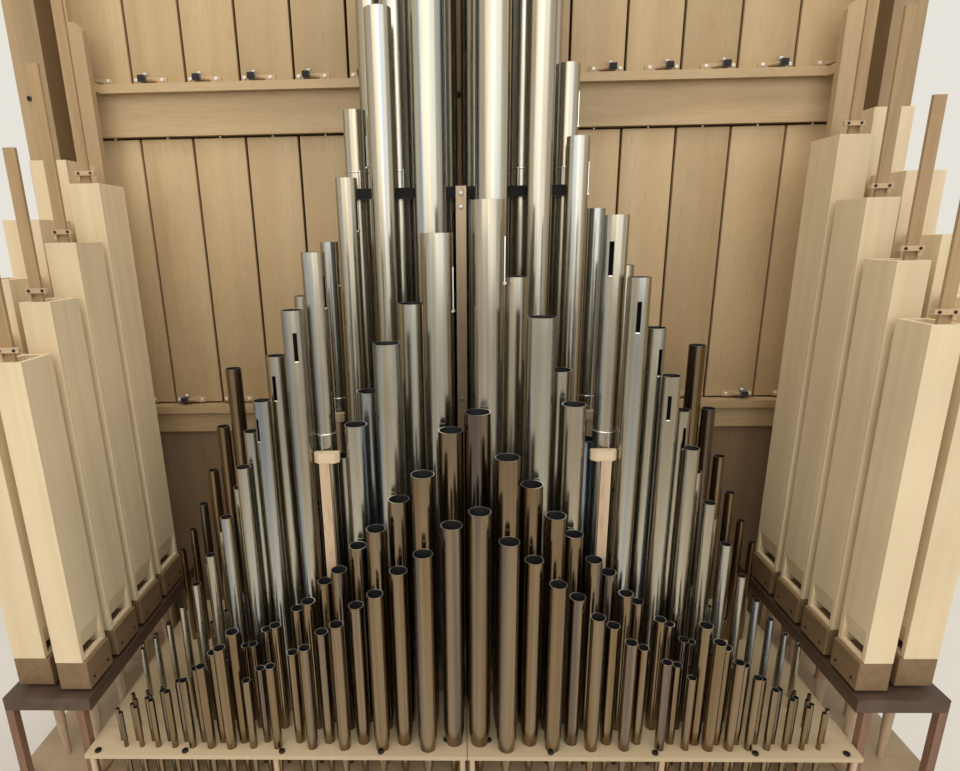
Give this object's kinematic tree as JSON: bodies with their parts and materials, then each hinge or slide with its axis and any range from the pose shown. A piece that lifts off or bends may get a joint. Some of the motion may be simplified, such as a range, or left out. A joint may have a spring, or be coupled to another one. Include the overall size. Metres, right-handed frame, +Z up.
{
  "type": "pipe organ",
  "caption": "Pipe organ section with stepped ranks of open metal pipes on a chest, square wooden pipes at both sides and a swell box with turning upright shades behind",
  "frame": {"origin": "on the ground, in the middle of the plan", "axes": "+X to the right as seen from the front, +Y from the front to the back, +Z up"},
  "size_m": [2.79, 1.8, 3.309],
  "materials": {
    "case_wood": "plain sawn spruce",
    "chest_wood": "sanded oak",
    "rack_birch": "pale birch ply",
    "stay_wood": "planed beech",
    "pipe_metal": "planed tin and lead",
    "pipe_tin": "polished tin",
    "black_felt": "black felt",
    "hook_wire": "tinned wire",
    "pipe_maple": "planed maple",
    "oak_trim": "oiled oak",
    "dark_beam": "dark stained",
    "shade_oak": "light oak, waxed",
    "base_oak": "light oak, in the shade",
    "box_board": "flat board"
  },
  "bodies": {
    "organ": {"ground_beams": "case_wood", "chest_legs": "case_wood", "wind_chests": "chest_wood", "bung_boards": "chest_wood", "toe_boards": "chest_wood", "rack_boards": "rack_birch", "rack_pillars": "stay_wood", "superoctave_pipes": "pipe_metal", "quint_pipes": "pipe_metal", "octave_pipes": "pipe_tin", "gamba_pipes": "pipe_tin", "principal_pipes": "pipe_tin", "violone_pipes": "pipe_metal", "stay_bar": "black_felt", "stay_posts": "stay_wood", "stay_blocks": "stay_wood", "pipe_hooks": "hook_wire", "wood_pipes_left": "pipe_maple", "wood_pipes_right": "pipe_maple", "wood_pipe_caps": "oak_trim", "wood_pipe_feet": "stay_wood", "tuning_slats": "oak_trim", "slat_clamps": "oak_trim", "side_chests": "chest_wood", "side_racks": "dark_beam", "side_posts": "stay_wood", "case_uprights": "shade_oak", "swell_posts": "shade_oak", "swell_rails": "shade_oak", "swell_ledges": "shade_oak", "base_panels": "base_oak", "base_stiles": "base_oak", "box_sides": "box_board", "box_back": "box_board", "box_roof": "box_board", "box_floor": "box_board", "wing_panels": "shade_oak", "wing_returns": "shade_oak"},
    "shades_1": {"swell_shades_1": "shade_oak"},
    "shades_2": {"swell_shades_2": "shade_oak"},
    "shades_3": {"swell_shades_3": "shade_oak"},
    "shades_4": {"swell_shades_4": "shade_oak"},
    "shades_5": {"swell_shades_5": "shade_oak"},
    "shades_6": {"swell_shades_6": "shade_oak"},
    "shades_7": {"swell_shades_7": "shade_oak"},
    "shades_8": {"swell_shades_8": "shade_oak"},
    "shades_9": {"swell_shades_9": "shade_oak"},
    "shades_10": {"swell_shades_10": "shade_oak"},
    "shades_11": {"swell_shades_11": "shade_oak"},
    "shades_12": {"swell_shades_12": "shade_oak"},
    "shades_13": {"swell_shades_13": "shade_oak"},
    "shades_14": {"swell_shades_14": "shade_oak"}
  },
  "joints": [
    {"name": "shade_1_pivot", "type": "hinge", "parent": "organ", "child": "shades_1", "pos_m": [-1.092, -0.031, 1.302], "axis": [0, 0, -1], "range_deg": [0, 78]},
    {"name": "shade_2_pivot", "type": "hinge", "parent": "organ", "child": "shades_2", "pos_m": [-0.924, -0.031, 1.302], "axis": [0, 0, -1], "range_deg": [0, 78]},
    {"name": "shade_3_pivot", "type": "hinge", "parent": "organ", "child": "shades_3", "pos_m": [-0.756, -0.031, 1.302], "axis": [0, 0, -1], "range_deg": [0, 78]},
    {"name": "shade_4_pivot", "type": "hinge", "parent": "organ", "child": "shades_4", "pos_m": [-0.588, -0.031, 1.302], "axis": [0, 0, -1], "range_deg": [0, 78]},
    {"name": "shade_5_pivot", "type": "hinge", "parent": "organ", "child": "shades_5", "pos_m": [-0.42, -0.031, 1.302], "axis": [0, 0, -1], "range_deg": [0, 78]},
    {"name": "shade_6_pivot", "type": "hinge", "parent": "organ", "child": "shades_6", "pos_m": [-0.252, -0.031, 1.302], "axis": [0, 0, -1], "range_deg": [0, 78]},
    {"name": "shade_7_pivot", "type": "hinge", "parent": "organ", "child": "shades_7", "pos_m": [-0.084, -0.031, 1.302], "axis": [0, 0, -1], "range_deg": [0, 78]},
    {"name": "shade_8_pivot", "type": "hinge", "parent": "organ", "child": "shades_8", "pos_m": [0.084, -0.031, 1.302], "axis": [0, 0, 1], "range_deg": [0, 78]},
    {"name": "shade_9_pivot", "type": "hinge", "parent": "organ", "child": "shades_9", "pos_m": [0.252, -0.031, 1.302], "axis": [0, 0, 1], "range_deg": [0, 78]},
    {"name": "shade_10_pivot", "type": "hinge", "parent": "organ", "child": "shades_10", "pos_m": [0.42, -0.031, 1.302], "axis": [0, 0, 1], "range_deg": [0, 78]},
    {"name": "shade_11_pivot", "type": "hinge", "parent": "organ", "child": "shades_11", "pos_m": [0.588, -0.031, 1.302], "axis": [0, 0, 1], "range_deg": [0, 78]},
    {"name": "shade_12_pivot", "type": "hinge", "parent": "organ", "child": "shades_12", "pos_m": [0.756, -0.031, 1.302], "axis": [0, 0, 1], "range_deg": [0, 78]},
    {"name": "shade_13_pivot", "type": "hinge", "parent": "organ", "child": "shades_13", "pos_m": [0.924, -0.031, 1.302], "axis": [0, 0, 1], "range_deg": [0, 78]},
    {"name": "shade_14_pivot", "type": "hinge", "parent": "organ", "child": "shades_14", "pos_m": [1.092, -0.031, 1.302], "axis": [0, 0, 1], "range_deg": [0, 78]}
  ],
  "couplings": [
    {"joint": "shade_1_pivot", "follows": "shade_8_pivot", "ratio": 1},
    {"joint": "shade_2_pivot", "follows": "shade_8_pivot", "ratio": 1},
    {"joint": "shade_3_pivot", "follows": "shade_8_pivot", "ratio": 1},
    {"joint": "shade_4_pivot", "follows": "shade_8_pivot", "ratio": 1},
    {"joint": "shade_5_pivot", "follows": "shade_8_pivot", "ratio": 1},
    {"joint": "shade_6_pivot", "follows": "shade_8_pivot", "ratio": 1},
    {"joint": "shade_7_pivot", "follows": "shade_8_pivot", "ratio": 1},
    {"joint": "shade_9_pivot", "follows": "shade_8_pivot", "ratio": 1},
    {"joint": "shade_10_pivot", "follows": "shade_8_pivot", "ratio": 1},
    {"joint": "shade_11_pivot", "follows": "shade_8_pivot", "ratio": 1},
    {"joint": "shade_12_pivot", "follows": "shade_8_pivot", "ratio": 1},
    {"joint": "shade_13_pivot", "follows": "shade_8_pivot", "ratio": 1},
    {"joint": "shade_14_pivot", "follows": "shade_8_pivot", "ratio": 1}
  ]
}
